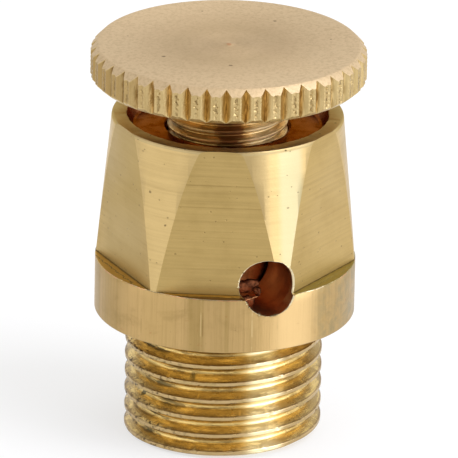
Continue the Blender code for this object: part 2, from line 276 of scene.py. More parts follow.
def thread_brass(name, crest, root, base, top, left_dirt_and_shade, rough, painted_light, marks=(), painted_shade=None):
    """Cut thread: rough crests, golden flanks, darker roots, and dirt with painted shade on the left side.

    The two sectors, each (azimuth, half width, colour), are a painted highlight and painted shade.
    """
    n = Nodes(name)
    around = n.join(n.times(n.turn(), crest), n.times(n.radius, 1.5), n.z)
    streaks = n.noise((0.55, 1.0, 3.6), detail=5.0, rough=0.68, vector=around, offset=(5, 2, 9))
    fine = n.noise((1.6, 6.0, 7.0), detail=4.0, rough=0.75, vector=around)
    specks = n.noise((3.6, 3.0, 5.0), detail=4.0, rough=0.7, vector=around, offset=(2, 7, 1))
    depth = n.band(n.radius, root, crest)
    shade = n.mix(n.band(fine, 0.40, 0.70, 0.0, 0.12), base, darker(base, 0.75))
    at_crest = n.band(n.plus(n.radius, n.times(fine, 0.05)), crest - 0.085, crest - 0.035)
    shade = n.mix(at_crest, shade, top)
    shade = n.mix(n.times(at_crest, n.band(fine, 0.45, 0.65, 0.0, 0.55)), shade, darker(base, 0.5))
    # A sector of painted highlight
    bright, half, tone = painted_light
    shade = n.mix(n.sector(bright, half * 0.35, half), shade, tone)
    # A sector of painted shade with ragged edges
    if painted_shade:
        middle, shade_half, shade_tone = painted_shade
        off = n.minus(n.turn(), radians(middle) + FRONT)
        off = n.math("ABSOLUTE", n.plus(off, n.band(streaks, 0.3, 0.7, -0.12, 0.12)))
        shaded = n.band(off, radians(shade_half * 0.8), radians(shade_half * 1.2), 0.9, 0.0)
        shade = n.mix(shaded, shade, shade_tone)
    # The roots are darker, but hardly at all in the sector of painted highlight
    low = n.times(n.band(depth, 0.08, 0.20, 1.0, 0.0), n.band(streaks, 0.42, 0.58, 0.25, 0.85))
    low = n.times(low, n.sector(bright, half * 0.5, half * 1.5, 0.10, 1.0))
    shade = n.mix(low, shade, (0.26, 0.155, 0.045))
    # Dirt together with painted shade on the left side, strongest towards the roots
    left = n.band(n.x, -4.0, -0.3, left_dirt_and_shade, 0.0)
    dirt_and_shade = n.times(left, n.times(n.band(streaks, 0.50, 0.60), n.band(depth, 0.18, 0.45, 1.0, 0.06)))
    shade = n.mix(dirt_and_shade, shade, (0.10, 0.085, 0.040))
    left_crest = n.times(left, n.band(depth, 0.40, 0.85))
    shade = n.mix(n.times(left_crest, n.band(specks, 0.53, 0.60, 0.0, 0.9)), shade, GRIME)
    shade = n.mix(n.band(specks, 0.68, 0.76, 0.0, 0.45), shade, GRIME)
    # Painted shade on the downward faces just under each crest
    under = n.times(n.band(n.normal_z, -0.80, -0.35, 0.8, 0.0), n.band(depth, 0.50, 0.75))
    shade = n.mix(under, shade, (0.14, 0.08, 0.025))
    # A painted shade line where the root rounds into the flank
    fold_shade = n.band(n.gap(n.normal_z, 0.84), 0.03, 0.07, 1.0, 0.0)
    fold_shade = n.times(fold_shade, n.band(streaks, 0.38, 0.54))
    shade = n.mix(n.times(fold_shade, 0.6), shade, (0.24, 0.14, 0.04))
    if marks:
        shade = n.mix(n.times(spots(n, marks), 0.85), shade, (0.075, 0.07, 0.035))
    normal = n.bump(specks, 0.010, n.bump(fine, 0.016))
    roughness = n.band(fine, 0.3, 0.7, rough, rough + 0.08, smooth=False)
    roughness = n.plus(roughness, n.times(dirt_and_shade, 0.2))
    roughness = n.plus(roughness, n.sector(bright, half * 0.6, half * 1.6, 0.12))
    return n.finish(shade, roughness, normal, 0.5)


def dull_brass(name, colour, dark, rough, spread=(0.40, 0.64), edge=None):
    """Brass with dark blotches and specks."""
    n = Nodes(name)
    patch = n.noise(1.4, detail=5.0, rough=0.65, offset=(7, 1, 4))
    speck = n.noise(7.0, detail=4.0, rough=0.7)
    shade = n.mix(n.band(patch, *spread), colour, dark)
    shade = n.mix(n.band(speck, 0.62, 0.74, 0.0, 0.45), shade, darker(dark, 0.3))
    normal = n.bump(n.plus(patch, n.times(speck, 0.4)), 0.008)
    return n.finish(shade, n.band(patch, 0.35, 0.7, rough, rough + 0.12, smooth=False), normal, edge=edge)


def bore_brass(name):
    """The vent's drilled wall, red-brown with darker blotches and a painted reflection at the right side of
    its mouth.
    """
    n = Nodes(name)
    out = n.plus(n.times(n.x, VENT_AXIS.x), n.times(n.y, VENT_AXIS.y))
    side = n.plus(n.times(n.x, VENT_ACROSS.x), n.times(n.y, VENT_ACROSS.y))
    patch = n.noise(1.1, detail=4.0, rough=0.6, offset=(7, 1, 4))
    ragged = n.noise(3.5, detail=4.0, rough=0.7)
    shade = n.mix(n.band(patch, 0.40, 0.66), (0.66, 0.33, 0.155), (0.48, 0.21, 0.10))
    # Painted reflection: pale at the right side of the mouth
    mouth = n.times(n.band(n.plus(out, n.times(ragged, 0.35)), 5.52, 5.72), n.band(side, 0.85, 1.10))
    shade = n.mix(mouth, shade, (0.80, 0.66, 0.42))
    return n.finish(shade, 0.30, n.bump(n.plus(patch, ragged), 0.010))


def chip_brass(name, lit):
    """Torn brass, brown with darker blotches, with painted highlights at the lit places."""
    n = Nodes(name)
    patch = n.noise(2.4, detail=5.0, rough=0.7, offset=(2, 1, 4))
    shade = n.mix(n.band(patch, 0.38, 0.62), (0.26, 0.095, 0.040), (0.08, 0.026, 0.012))
    shade = n.mix(spots(n, lit), shade, (0.62, 0.30, 0.13))
    return n.finish(shade, 0.55, n.bump(patch, 0.10), edge=(0.45, 0.17, 0.07))


def ledge_brass(name):
    """The ledges under the flats: golden, greener to the right, with painted corner shade and a dark crack.

    The front one has a dark rim too.
    """
    n = Nodes(name)
    sixth = tau / 6
    from_flat = n.minus(n.math("FLOORED_MODULO", n.plus(n.turn(), sixth / 2 - FRONT), sixth), sixth / 2)
    out = n.minus(n.times(n.radius, n.math("COSINE", from_flat)), ACROSS_FLATS / 2)
    ragged = n.noise(3.0, detail=4.0, rough=0.7)
    wander = n.noise(0.9, detail=3.0, offset=(0.2, 4.0, 1.0))
    green = n.plus(n.band(n.x, 2.0, 4.6), n.band(wander, 0.3, 0.7, -0.35, 0.35))
    # Painted shade in the corner under each flat
    corner = n.band(n.plus(out, n.times(ragged, 0.16)), 0.10, 0.24, 1.0, 0.0)
    crack = n.band(n.gap(n.plus(out, n.times(ragged, 0.5)), 0.62), 0.015, 0.05, 1.0, 0.0)
    shade = n.mix(n.band(green, 0.25, 0.75), (0.66, 0.425, 0.095), (0.36, 0.31, 0.095))
    shade = n.mix(n.times(crack, n.band(green, 0.2, 0.6, 0.7, 0.15)), shade, (0.10, 0.065, 0.02))
    shade = n.mix(n.times(corner, 0.80), shade, (0.085, 0.055, 0.016))
    rim = n.times(n.sector(0, 26, 32), n.band(n.plus(out, n.times(ragged, 0.40)), 0.50, 0.66))
    shade = n.mix(n.times(rim, 0.85), shade, (0.17, 0.085, 0.022))
    return n.finish(shade, 0.34, n.bump(n.minus(ragged, n.times(crack, 0.6)), 0.02))


def faced_brass(name):
    """The knob's turned face: faint rings, a few pits and a red-brown dot where it was parted off."""
    n = Nodes(name)
    rings = n.noise(1.0, detail=5.0, rough=0.75, vector=n.join(n.times(n.radius, 7.0), 0.0, 0.0))
    wide = n.noise(1.0, detail=2.0, vector=n.join(n.radius, 3.0, 0.0))
    cloud = n.noise(0.42, detail=4.0, offset=(6.5, 2.2, 0))
    grain = n.noise(6.0, detail=4.0, rough=0.65)
    pits = ((0.25, -3.06, 0.10), (-3.06, -2.13, 0.10), (2.03, 3.54, 0.09), (-1.6, 4.6, 0.06),
            (4.9, 1.2, 0.06), (-5.0, 0.6, 0.05))
    pit = spots(n, [(x, y, KNOB_TOP, radius) for x, y, radius in pits])
    shade = n.mix(n.band(rings, 0.38, 0.70, 0.0, 0.35), (0.575, 0.425, 0.245), (0.485, 0.355, 0.195))
    shade = n.mix(n.band(wide, 0.42, 0.62, 0.0, 0.25), shade, (0.665, 0.495, 0.30))
    shade = n.mix(n.band(cloud, 0.42, 0.68, 0.0, 0.45), shade, (0.55, 0.405, 0.243))
    # Lighter towards the edge, a painted sheen
    shade = n.mix(n.band(n.radius, 2.0, 6.2, 0.0, 0.55), shade, (0.80, 0.625, 0.400))
    shade = n.mix(n.band(grain, 0.42, 0.70, 0.0, 0.45), shade, (0.46, 0.33, 0.178))
    shade = n.mix(n.times(pit, 0.75), shade, (0.20, 0.13, 0.06))
    shade = n.mix(n.times(spots(n, [(0.0, -0.14, KNOB_TOP, 0.13)]), 0.6), shade, (0.50, 0.22, 0.10))
    normal = n.bump(grain, 0.006, n.bump(n.minus(rings, n.times(pit, 2.0)), 0.006))
    return n.finish(shade, n.band(cloud, 0.3, 0.7, 0.57, 0.65, smooth=False), normal, 0.18)


def knurled_brass(name):
    """The knob's edge: upright tool marks, striped grooves, and pitted seams, with painted shade on the left
    side.
    """
    n = Nodes(name)
    across = n.times(n.minus(n.turn(), KNURL_START), TEETH / tau)
    seam = n.gap(n.math("FRACT", across), 0.5)
    upright = n.join(n.times(n.turn(), KNOB_RADIUS), 0.0, n.times(n.z, 0.10))
    marks = n.noise(9.0, detail=4.0, rough=0.75, vector=upright)
    ragged = n.noise((5.0, 5.0, 2.6), detail=5.0, rough=0.75)
    flakes = n.noise((3.0, 3.0, 2.0), detail=4.0, rough=0.65, offset=(3, 3, 8))
    line = n.band(n.plus(seam, n.times(ragged, 0.22)), 0.12, 0.19, 1.0, 0.0)
    line = n.times(line, n.band(flakes, 0.46, 0.58))
    top_corner = KNOB_TOP + KNOB_RADIUS
    top_edge = n.band(n.plus(n.z, n.radius), top_corner - 0.40, top_corner - 0.355)
    low_corner = (KNOB_RADIUS - KNOB_BOTTOM_CHAMFER) * KNOB_BOTTOM_SLOPE - KNOB_UNDERSIDE
    low_edge = n.minus(n.times(n.radius, KNOB_BOTTOM_SLOPE), n.z)
    low_edge = n.band(low_edge, low_corner - 0.06, low_corner - 0.02)
    inside = n.minus(1.0, n.most(top_edge, low_edge))
    low = n.times(inside, n.band(n.radius, KNOB_RADIUS - 0.27, KNOB_RADIUS - 0.10, 1.0, 0.0))
    shade = n.mix(n.band(marks, 0.40, 0.70, 0.0, 0.50), (0.62, 0.46, 0.215), (0.36, 0.225, 0.075))
    cuts = n.noise(15.0, detail=2.0, rough=0.6, vector=upright, offset=(4, 0, 0))
    shade = n.mix(low, shade, n.mix(n.band(cuts, 0.42, 0.58), (0.38, 0.23, 0.072), (0.82, 0.59, 0.26)))
    tone = n.noise((1.3, 1.3, 0.5), detail=2.0, offset=(1, 6, 2))
    shade = n.mix(n.band(tone, 0.40, 0.62, 0.0, 0.30), shade, (0.42, 0.30, 0.12))
    # Painted shade on the left side, deeper in the grooves
    left = n.times(inside, n.band(n.plus(n.x, n.times(tone, 2.0)), -5.0, -1.5, 0.9, 0.0))
    shade = n.mix(n.times(left, n.minus(1.0, low)), shade, (0.385, 0.25, 0.093))
    shade = n.mix(n.times(left, low), shade, (0.19, 0.11, 0.035))
    shade = n.mix(n.times(n.times(line, inside), 0.60), shade, (0.22, 0.135, 0.045))
    normal = n.bump(ragged, 0.012, n.bump(n.minus(marks, n.times(line, 1.2)), 0.014))
    return n.finish(shade, n.band(ragged, 0.35, 0.7, 0.26, 0.38, smooth=False), normal, 0.6)


def rubber(name):
    n = Nodes(name)
    grain = n.noise(6.0, detail=4.0)
    bloom = n.noise(1.2, detail=3.0, offset=(3, 3, 1))
    shade = n.mix(n.band(bloom, 0.35, 0.7), (0.018, 0.018, 0.020), (0.035, 0.034, 0.034))
    return n.finish(shade, n.band(grain, 0.3, 0.7, 0.50, 0.68), n.bump(grain, 0.01), metal=0.0)


# Meshes

def add_object(name, data):
    obj = bpy.data.objects.new(name, data)
    bpy.context.scene.collection.objects.link(obj)
    return obj


def shade_mesh(mesh, sharp):
    mesh.shade_smooth()
    mesh.set_sharp_from_angle(angle=radians(sharp))


def make_object(name, verts, faces, sharp=30.0):
    """A mesh object from points in millimetres, with its faces turned outwards."""
    mesh = bpy.data.meshes.new(name)
    mesh.from_pydata((np.array(verts, dtype=float) * MM).tolist(), [], [tuple(face) for face in faces])
    bm = bmesh.new()
    bm.from_mesh(mesh)
    bmesh.ops.recalc_face_normals(bm, faces=bm.faces)
    bm.to_mesh(mesh)
    bm.free()
    shade_mesh(mesh, sharp)
    return add_object(name, mesh)


def lathe(name, profile, columns, closed):
    """Turn a profile of (radius, height) points about Z."""
    verts, faces, rings = [], [], []
    for radius, height in profile:
        if radius < 1e-6:
            rings.append([len(verts)] * columns)
            verts.append((0.0, 0.0, height))
            continue
        rings.append(list(range(len(verts), len(verts) + columns)))
        verts += [(radius * cos(tau * c / columns), radius * sin(tau * c / columns), height)
                  for c in range(columns)]
    highs = rings[1:] + rings[:1] if closed else rings[1:]
    for low, high in zip(rings, highs):
        for c in range(columns):
            after = (c + 1) % columns
            face = dict.fromkeys((low[c], low[after], high[after], high[c]))
            if len(face) > 2:
                faces.append(tuple(face))
    return make_object(name, verts, faces)


def thread_tool(name, section, pitch, start, end, columns, fade, depth):
    """Sweep a closed section of (radius, rise) points up a right-handed helix that starts at the front.

    Over its last columns, fade in number, it moves outwards by the depth.
    """
    steps = round((end - start) / pitch * columns)
    count = len(section)
    verts, faces = [], []
    for step in range(steps + 1):
        turn = FRONT + tau * step / columns
        height = start + pitch * step / columns
        lift = depth * max(0.0, 1.02 - (steps - step) / fade)
        verts += [((radius + lift) * cos(turn), (radius + lift) * sin(turn), height + rise)
                  for radius, rise in section]
    for step in range(steps):
        for k in range(count):
            a, b = step * count + k, step * count + (k + 1) % count
            faces.append((a, b, b + count, a + count))
    faces.append(tuple(range(count)))
    faces.append(tuple(range(steps * count, steps * count + count)))
    return make_object(name, verts, faces)


def groove_section(crest, root, root_round, half_angle, reach):
    """A thread groove's section: a round root, straight flanks and eased crest corners."""
    ease = 0.05 * (crest - root) + 0.008
    slope = tan(half_angle)
    arc_steps = 7
    right = []
    for k in range(1, arc_steps + 1):
        lean = (pi / 2 - half_angle) * k / arc_steps
        right.append((root + root_round * (1 - cos(lean)), root_round * sin(lean)))
    flank_radius, flank_rise = right[-1]
    half_open = flank_rise + (crest - flank_radius) * slope
    right += [(crest - ease, half_open - ease * slope), (crest - ease * 0.25, half_open + ease * 0.05),
              (crest + 0.004, half_open + ease * 0.75), (crest + reach, half_open + ease * 0.75)]
    return right + [(radius, -rise) for radius, rise in reversed(right)]


def combine(obj, *tools, operation="DIFFERENCE"):
    """Apply one Boolean after another, and drop the tools."""
    for tool in tools:
        modifier = obj.modifiers.new(tool.name, "BOOLEAN")
        modifier.operation = operation
        modifier.solver = "MANIFOLD"
        modifier.object = tool
        bpy.context.view_layer.update()
        made = bpy.data.meshes.new_from_object(obj.evaluated_get(bpy.context.evaluated_depsgraph_get()))
        obj.modifiers.clear()
        obj.data = made
        bpy.data.objects.remove(tool)
    return obj


def weld(obj, sharp):
    bm = bmesh.new()
    bm.from_mesh(obj.data)
    bmesh.ops.remove_doubles(bm, verts=bm.verts, dist=0.0004 * MM)
    bmesh.ops.recalc_face_normals(bm, faces=bm.faces)
    bm.to_mesh(obj.data)
    bm.free()
    shade_mesh(obj.data, sharp)


def paint(obj, materials, choose):
    """Give each face the material that choose(centre, normal) names. The centre is in millimetres."""
    obj.data.materials.clear()
    names = list(materials)
    for name in names:
        obj.data.materials.append(materials[name])
    for face in obj.data.polygons:
        face.material_index = names.index(choose(face.center / MM, face.normal))


def wave(turn, seed, counts):
    """A smooth, repeatable ripple round a ring, about -1 to 1."""
    value = 0.0
    for k, count in enumerate(counts):
        value += sin(count * turn + seed * (k + 1) * 1.7) / (k + 1) ** 0.6
    return value / 2.2


# Valve body

def near(radius, height, offsets):
    """Points of a section at (outwards, upwards) offsets from one of its corners."""
    return [(radius + out, height + up) for out, up in offsets]


def body_outline():
    """The body's section: up the outside, over the mouth, and down the inside to the water way."""
    relief = NIPPLE_RADIUS - RELIEF_DEPTH
    nipple = near(NIPPLE_RADIUS, 0, ((-0.07, 0), (-0.055, 0.006), (-0.008, 0.06), (0, 0.10), (0, 5.44)))
    undercut = [(relief, 5.75), (relief, 6.17), (relief + 0.06, 6.24), (4.93, 6.24), (4.96, NIPPLE_LENGTH)]
    collar = near(COLLAR_RADIUS, NIPPLE_LENGTH,
                  ((-0.07, 0), (-0.025, 0.015), (0, 0.05), (0, 0.8), (0, 1.6), (0, 2.3)))
    collar += near(COLLAR_RADIUS, COLLAR_TOP, ((0, -0.035), (-0.01, -0.01), (-0.035, 0)))
    grip = near(GRIP_BASE_RADIUS, COLLAR_TOP, ((-0.012, 0), (-0.012, 0.01)))
    grip += [(6.19, 10.8), (5.99, 12.9), (5.80, 14.9)]
    grip += near(GRIP_TOP_RADIUS, GRIP_TOP, ((0.025, -0.18), (0.004, -0.08), (-0.035, -0.025), (-0.10, 0)))
    dish = near(DISH_RADIUS, GRIP_TOP, ((0.07, 0), (0.015, -0.015), (-0.01, -0.06)))
    dish += near(DISH_FLOOR_RADIUS, DISH_FLOOR, ((0.15, 0.16), (0.07, 0.05), (-0.05, 0)))
    bore = near(BORE_RADIUS, DISH_FLOOR, ((0.12, 0), (0, -0.12))) + [(BORE_RADIUS, THREAD_BOTTOM)]
    chamber = [(CHAMBER_RADIUS, THREAD_BOTTOM), (CHAMBER_RADIUS, SEAT_HEIGHT - SEAT_LIP)]
    ease = 0.04
    seat = near(WATERWAY_RADIUS + SEAT_WALL, SEAT_HEIGHT, ((0, -SEAT_LIP), (0, -ease), (-ease, 0)))
    seat += near(WATERWAY_RADIUS, SEAT_HEIGHT, ((ease, 0), (0, -ease)))
    waterway = near(WATERWAY_RADIUS, 0, ((0, WATERWAY_CHAMFER), (WATERWAY_CHAMFER, 0)))
    return nipple + undercut + collar + grip + dish + bore + chamber + seat + waterway


def wear(body):
    """Nick the thread's crests, and roughen the mouth's inner edge and the collar's top edge."""
    for vert in body.data.vertices:
        x, y, z = vert.co / MM
        radius, turn = hypot(x, y), atan2(y, x)
        if radius > NIPPLE_RADIUS - 0.12 and z < 5.5:
            nick = max(0.0, wave(turn + z * 3.1, 2.0, (11, 23, 37, 61)) - 0.55) * 0.09
            ripple = 0.006 * (1 + wave(turn + z, 5.0, (3, 7, 13, 29, 53)))
            scale = 1 - (nick + ripple) / radius
            vert.co.x *= scale
            vert.co.y *= scale
        if z > GRIP_TOP - 0.08 and radius < DISH_RADIUS + 0.08:
            scale = 1 - (0.034 * max(0.0, wave(turn, 7.0, (19, 31, 47, 83))) - 0.006) / radius
            vert.co.x *= scale
            vert.co.y *= scale
            vert.co.z -= 0.02 * MM * max(0.0, wave(turn, 9.0, (13, 37, 59, 97)))
        if abs(z - COLLAR_TOP) < 0.05 and radius > COLLAR_RADIUS - 0.07:
            share = 1 if radius > COLLAR_RADIUS - 0.02 else 0.3
            vert.co.z += 0.020 * MM * wave(turn, 1.0, (17, 41, 67, 101)) * share


def make_body():
    body = lathe("body_turning", body_outline(), 360, True)
    corner = ACROSS_FLATS / 2 / cos(pi / 6)
    outside, above = 13, 18
    frame_section = [(corner, COLLAR_TOP), (outside, COLLAR_TOP), (outside, above), (corner, above)]
    ring = lathe("flats_tool", frame_section, 6, True)
    reach = 7.4
    vent = lathe("vent_tool", [(0, 0), (VENT_RADIUS, 0), (VENT_RADIUS, reach), (0, reach)], 96, False)
    vent.data.transform(Matrix.Translation((0, 0, VENT_HEIGHT * MM)) @ Matrix.Rotation(VENT_ANGLE, 4, "Z")
                        @ Matrix.Rotation(pi / 2, 4, "X"))
    section = groove_section(NIPPLE_RADIUS, NIPPLE_RADIUS - PIPE_GROOVE_DEPTH, root_round=0.17,
                             half_angle=radians(26), reach=0.5)
    start = PIPE_CREST_AT_FRONT + PIPE_PITCH / 2 - 7 * PIPE_PITCH
    cutter = thread_tool("pipe_thread_tool", section, PIPE_PITCH, start, PIPE_THREAD_END, columns=240,
                         fade=40, depth=THREAD_DEPTH)
    combine(body, ring, vent, cutter)
    wear(body)
    weld(body, 22)
    paint(body, BODY_MATERIALS, body_zone)
    return body


def body_zone(centre, normal):
    x, y, z = centre
    radius = hypot(x, y)
    if z <= 0.005:
        return "under"
    if z < NIPPLE_LENGTH + 0.1 and radius > 3.0:
        return "thread" if z < NIPPLE_LENGTH - 0.01 else "under"
    if radius > COLLAR_RADIUS - 0.15 and z < COLLAR_TOP - 0.02:
        return "collar"
    if abs(z - COLLAR_TOP) < 0.045 and normal.z > 0.5:
        return "ledge"
    if z > GRIP_TOP - 0.15 and radius > DISH_RADIUS - 0.05:
        return "rim"
    outward = (x * normal.x + y * normal.y) / max(radius, 1e-6)
    if radius > DISH_RADIUS + 0.25 and outward > 0.75 and z > COLLAR_TOP:
        best = max(cos(atan2(normal.y, normal.x) - flat) for flat in FLAT_ANGLES)
        return "flat" if best > 0.99995 and abs(normal.z) < 0.02 else "facet"
    return "dish" if z > DISH_FLOOR - 0.3 else "bore"


def is_inside(x, y, z):
    """True where a point is inside the body's outer shape."""
    radius = hypot(x, y)
    if z < COLLAR_TOP:
        return radius < COLLAR_RADIUS
    share = (z - COLLAR_TOP) / (GRIP_TOP - COLLAR_TOP)
    cone = GRIP_BASE_RADIUS + (GRIP_TOP_RADIUS - GRIP_BASE_RADIUS) * share
    flats = max(x * cos(flat) + y * sin(flat) for flat in FLAT_ANGLES)
    return radius < cone and flats < ACROSS_FLATS / 2


def burr(name, path, outward, size, closed):
    """A thin ragged lip along a path. size(k) gives its width and height at point k."""
    section = ((-1.0, -0.7), (-0.75, 0.25), (-0.2, 1.0), (0.3, 0.9), (0.85, 0.15), (1.0, -0.7))
    count, sides = len(path), len(section)
    verts, faces = [], []
    for k, (point, out) in enumerate(zip(path, outward)):
        before = path[k - 1] if closed or k else path[k]
        after = path[(k + 1) % count] if closed or k < count - 1 else path[k]
        along = (after - before).normalized()
        side = along.cross(out).normalized()
        width, height = size(k)
        verts += [point + side * s * width + out * h * height for s, h in section]
    for k in range(count if closed else count - 1):
        here, following = k * sides, (k + 1) % count * sides
        for j in range(sides):
            n = (j + 1) % sides
            faces.append((here + j, here + n, following + n, following + j))
    if not closed:
        faces.append(tuple(range(sides)))
        faces.append(tuple(range((count - 1) * sides, count * sides)))
    obj = make_object(name, [tuple(v) for v in verts], faces, 40)
    obj.data.materials.append(BODY_MATERIALS["bright"])
    return obj


def make_vent_burr():
    """A burr round the vent's mouth, rich on the lower left, with a broad lip on the right."""
    columns = 180
    turns = [tau * k / columns for k in range(columns)]
    lip = [max(0.0, cos(turn - 0.1) - 0.55) / 0.45 for turn in turns]
    path = []
    for k, turn in enumerate(turns):
        ray = VENT_ACROSS * cos(turn) + Vector((0, 0, 1)) * sin(turn)
        base = Vector((0, 0, VENT_HEIGHT)) + ray * (VENT_RADIUS + 0.005 - 0.07 * lip[k])
        inner, outer = 3.0, 8.0
        for _ in range(30):
            half = (inner + outer) / 2
            if is_inside(*(base + VENT_AXIS * half)):
                inner = half
            else:
                outer = half
        path.append(base + VENT_AXIS * inner)
    random.seed(4)
    rough = [random.random() for _ in range(columns)]

    def size(k):
        lumps = max(0.0, 0.10 + wave(turns[k], 3.0, (11, 29, 53, 83)))
        low_left = max(0.0, cos(turns[k] - radians(225)))
        return (0.012 + 0.065 * lumps * (0.20 + 1.1 * low_left) + 0.045 * lip[k] + 0.010 * rough[k],
                0.010 + 0.090 * lumps * (0.20 + low_left) + 0.012 * rough[k])

    return burr("vent_burr", path, [VENT_AXIS] * columns, size, True)


def vent_place(side, rise, depth):
    """A point in millimetres, seen along the vent: to its right, above its middle, and out from Z."""
    return VENT_AXIS * depth + VENT_ACROSS * side + Vector((0, 0, VENT_HEIGHT + rise))


def make_vent_chip():
    """A torn bit of brass on the vent's lower left wall; painted highlights make the edge along its top
    bright.
    """
    # Each lump's middle and half sizes, both as side, rise and depth, and its lean in degrees
    lumps = (((-0.62, -0.40, 4.60), (0.66, 0.34, 0.22), 6),
             ((-0.16, -0.62, 4.85), (0.19, 0.25, 0.20), 20),
             ((-0.52, -0.86, 5.10), (0.46, 0.022, 0.05), 13),
             ((-0.60, -1.15, 4.70), (0.40, 0.28, 0.22), -10))
    # Spots of painted highlight on the chip's lumps
    lit = []
    for k, shift, radius in ((1, 0.0, 0.16), (2, -0.25, 0.20), (2, 0.15, 0.18), (3, 0.1, 0.13)):
        side, rise, depth = lumps[k][0]
        lit.append((*vent_place(side + shift, rise, depth), radius))
    bm = bmesh.new()
    for (side, rise, depth), size, lean in lumps:
        made = bmesh.ops.create_icosphere(bm, subdivisions=3, radius=1.0)
        tilt = radians(lean)
        for vert in made["verts"]:
            u, v, w = vert.co.x * size[0], vert.co.y * size[1], vert.co.z * size[2]
            u, v = u * cos(tilt) - v * sin(tilt), u * sin(tilt) + v * cos(tilt)
            ripple = 0.035 * sin(u * 17 + rise * 40) + 0.025 * sin(v * 29 + w * 23 + u * 9)
            v += 0.10 * size[1] * sin(u * 23 + side * 9) * min(1.0, size[1] / 0.1)
            vert.co = vent_place(side + u, rise + v, depth + w + ripple) * MM
    mesh = bpy.data.meshes.new("vent_chip")
    bm.to_mesh(mesh)
    bm.free()
    mesh.shade_smooth()
    mesh.materials.append(chip_brass("chip_brass", lit))
    return add_object("vent_chip", mesh)


def make_collar_burr(name, first, last, seed):
    """Bright crumbs along the collar's top edge, between two azimuths in degrees."""
    path, sizes = [], []
    random.seed(seed)
    radius = COLLAR_RADIUS - 0.025
    count = int((last - first) * 3)
    for k in range(count):
        azimuth = first + (last - first) * k / (count - 1)
        turn = radians(azimuth - 90)
        path.append(Vector((radius * cos(turn), radius * sin(turn), COLLAR_TOP + 0.004)))
        rich = 1.0 if 26 < azimuth < 62 or abs(azimuth - 3) < 4 else 0.45
        crumb = max(0.0, wave(turn, 5.0, (47, 71, 113, 151)) - 0.35)
        sizes.append(0.004 + 0.020 * rich * crumb + 0.003 * random.random())

    def size(k):
        return sizes[k] * 0.8, sizes[k]

    return burr(name, path, [Vector((0, 0, 1))] * count, size, False)


# Knob, spindle and seal

# Places across half a groove and half a land, in millimetres round the rim from the groove's middle. Each
# place on the land has how far it lies inside the knob's radius
GROOVE_PLACES, LAND_MIDDLE = (0, 0.06, 0.12, 0.18, 0.235), 0.4932
LAND_DIPS = {GROOVE_HALF_WIDTH: 0.010, 0.31: 0.0, 0.37: 0.006, 0.44: 0.030, LAND_MIDDLE: 0.030}
# Rings of the knob's face: each one's radius, and its height on the pip
FACE_RINGS = ((0.10, 0.048), (0.22, 0.030), (0.30, 0.004), (0.36, 0), (1.2, 0), (2.4, 0), (3.6, 0), (4.8, 0),
              (5.8, 0), (6.25, 0))


def knob_columns():
    """Angles round the knob, each with its place and its tooth."""
    places = (*GROOVE_PLACES, *LAND_DIPS)
    both = [-p for p in reversed(places[1:-1])] + list(places)
    return [(KNURL_START + tau * tooth / TEETH + place / KNOB_RADIUS, place, tooth) for tooth in range(TEETH)
            for place in both]


def tool_mark(side, tooth, z, lean):
    """How far the rim stands out, from pits in the seam and marks beside it. The lean adds to the pits."""
    if side > 0.41:
        pitted = sin(z * 19 + tooth * 2.3) + 0.7 * sin(z * 43 + tooth * 5.1 + side * 30)
        return -0.038 * max(0.0, pitted + lean)
    if side > 0.26:
        return 0.008 * sin(z * 31 + tooth * 1.9 + LAND_MIDDLE * 9) - 0.006
    return 0.010 * sin(LAND_MIDDLE * 55 + tooth) if side > 0.04 else 0.0


def knob_rings(columns):
    """Rings of (radius, angle, height) points, from the pip over the rim to the underside."""
    def flat_ring(radius, height):
        return [(radius, turn, height) for turn, _, _ in columns]

    top_inner, bottom_inner = KNOB_RADIUS - KNOB_TOP_CHAMFER, KNOB_RADIUS - KNOB_BOTTOM_CHAMFER
    lean = [random.random() - 0.5 for _ in range(TEETH + 1)]
    tops, bottoms = [], []
    for turn, place, _ in columns:
        side = abs(place)
        outer = KNOB_RADIUS - KNURL_DEPTH * max(0.0, 1 - side / GROOVE_HALF_WIDTH) - LAND_DIPS.get(side, 0.0)
        tops.append((outer, turn, KNOB_TOP - max(outer - top_inner, 0.02)))
        rise = max((outer - bottom_inner) * KNOB_BOTTOM_SLOPE, 0.012)
        bottoms.append((outer, turn, KNOB_UNDERSIDE + rise))
    rings = [flat_ring(radius, KNOB_TOP + rise) for radius, rise in FACE_RINGS]
    ease = 0.012
    rings += [flat_ring(top_inner - 0.02, KNOB_TOP), flat_ring(top_inner + ease, KNOB_TOP - ease), tops]
    rim_rows = 22
    for row in range(1, rim_rows):
        t = row / rim_rows
        fade = min(1.0, min(t, 1 - t) * 9)
        ring = []
        for (outer, turn, high), (_, _, low), (_, place, tooth) in zip(tops, bottoms, columns):
            z = high + (low - high) * t
            radius = outer + tool_mark(abs(place), tooth, z, lean[tooth]) * fade
            ring.append((min(radius, KNOB_RADIUS), turn, z))
        rings.append(ring)
    rings += [bottoms, flat_ring(bottom_inner + 0.01, KNOB_UNDERSIDE + 0.003)]
    rings += [flat_ring(radius, KNOB_UNDERSIDE) for radius in (bottom_inner - 0.06, 5.0, 3.6, 2.0, 1.0)]
    return rings


